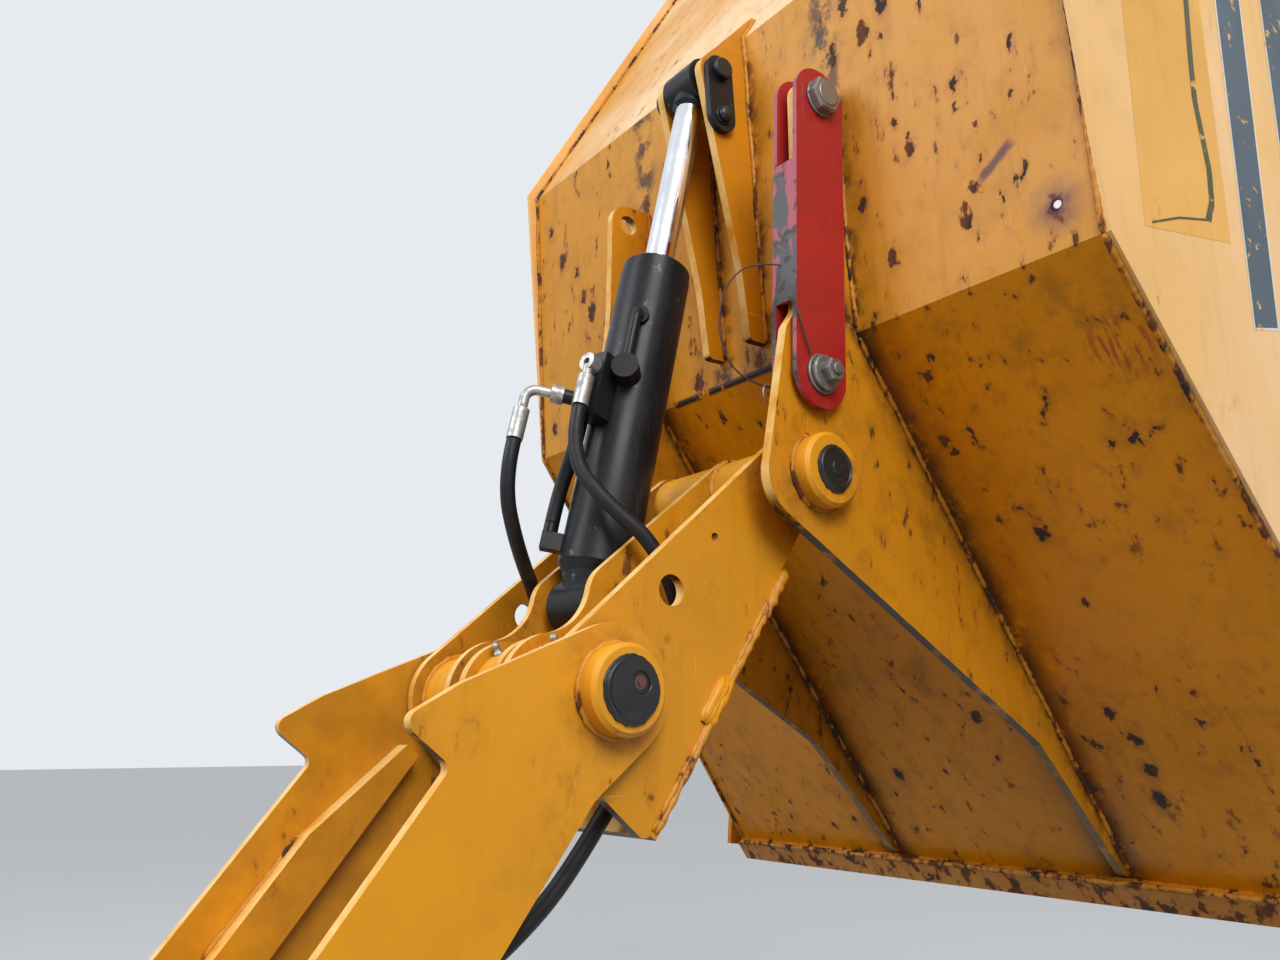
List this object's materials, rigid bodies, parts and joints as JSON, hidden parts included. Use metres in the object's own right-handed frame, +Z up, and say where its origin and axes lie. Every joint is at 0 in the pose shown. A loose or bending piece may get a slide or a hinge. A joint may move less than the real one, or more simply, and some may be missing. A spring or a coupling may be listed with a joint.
{
  "type": "site dumper high-tip skip and lift arm",
  "caption": "Tipped skip of a small site dumper on its lift arm and knuckle head, with the tip ram and a stowed safety strut.",
  "frame": {"origin": "on the axis of the bore at the lift arm's foot, midway between its two plates", "axes": "+X the way the machine drives, +Y its left side and along the pivots, +Z up"},
  "size_m": [1.4822, 1.192, 2.2263],
  "materials": {
    "machine_paint": "semi-gloss, scratched, with rust spots",
    "ram_paint": "satin",
    "strut_paint": "semi-gloss, worn to metal on the web",
    "rod_chrome": "polished",
    "zinc": "zinc plated, dull",
    "pin_steel": "dark, oily",
    "hose": "matte"
  },
  "bodies": {
    "lift_arm": {"arm_plate_left": "machine_paint", "arm_plate_right": "machine_paint", "arm_stiffener_left": "machine_paint", "arm_stiffener_right": "machine_paint", "lift_ram_lug_left": "machine_paint", "lift_ram_lug_right": "machine_paint", "arm_foot_tube": "machine_paint", "arm_brace_tube": "machine_paint", "knuckle_bosses": "machine_paint", "knuckle_pin": "pin_steel", "brace_hose_stub": "zinc"},
    "knuckle_head": {"head_plate_left": "machine_paint", "head_plate_right": "machine_paint", "head_inner_plate_left": "machine_paint", "head_inner_plate_right": "machine_paint", "link_lug_left": "machine_paint", "link_lug_right": "machine_paint", "head_knuckle_tube": "machine_paint", "head_pivot_tube": "machine_paint", "head_cover_plate": "machine_paint", "ram_base_bosses": "machine_paint", "ram_base_pin": "pin_steel", "head_hose_fittings": "zinc", "hose_arm": "hose"},
    "tip_ram": {"ram_base_eye": "ram_paint", "ram_barrel": "ram_paint", "ram_gland": "ram_paint", "ram_port_block": "ram_paint", "ram_upper_port": "ram_paint", "ram_transfer_pipe": "ram_paint", "ram_hose_fittings": "zinc", "ram_base_port": "ram_paint", "hose_base": "hose", "hose_far": "hose", "hose_near": "hose"},
    "tip_ram_rod": {"ram_rod": "rod_chrome", "ram_rod_eye": "ram_paint"},
    "skip": {"skip_floor": "machine_paint", "skip_back_lower": "machine_paint", "skip_back_upper": "machine_paint", "skip_side_left": "machine_paint", "skip_side_right": "machine_paint", "skip_rim_left": "machine_paint", "skip_rim_right": "machine_paint", "skip_lip": "machine_paint", "skip_rim_back": "machine_paint", "skip_gusset_left": "machine_paint", "skip_gusset_right": "machine_paint", "ram_lug_left": "machine_paint", "ram_lug_right": "machine_paint", "skip_bosses": "machine_paint", "skip_pivot_pin": "pin_steel", "rod_pin_keeper": "ram_paint", "rod_pin": "pin_steel", "safety_strut": "strut_paint", "strut_top_bolt": "zinc", "strut_foot_pin": "zinc"}
  },
  "joints": [
    {"name": "head_level", "type": "hinge", "parent": "lift_arm", "child": "knuckle_head", "pos_m": [0.42613, 0, 0.55535], "axis": [0, 1, 0], "range_deg": [-55, 5], "deforming": ["hose_arm"]},
    {"name": "skip_tip", "type": "hinge", "parent": "knuckle_head", "child": "skip", "pos_m": [0.67814, 0, 0.79534], "axis": [0, 1, 0], "range_deg": [-52.5, 0]},
    {"name": "ram_swing", "type": "hinge", "parent": "knuckle_head", "child": "tip_ram", "pos_m": [0.50676, 0, 0.65629], "axis": [0, 1, 0], "range_deg": [-44, 0.5], "deforming": ["hose_far", "hose_near"]},
    {"name": "ram_stroke", "type": "slide", "parent": "tip_ram", "child": "tip_ram_rod", "axis": [0.2214, 0, 0.9752], "range_m": [-0.164, 0.001]}
  ],
  "couplings": [
    {"joint": "ram_swing", "follows": "skip_tip", "ratio": 0.824},
    {"joint": "ram_stroke", "follows": "skip_tip", "m_per_rad": 0.178}
  ]
}
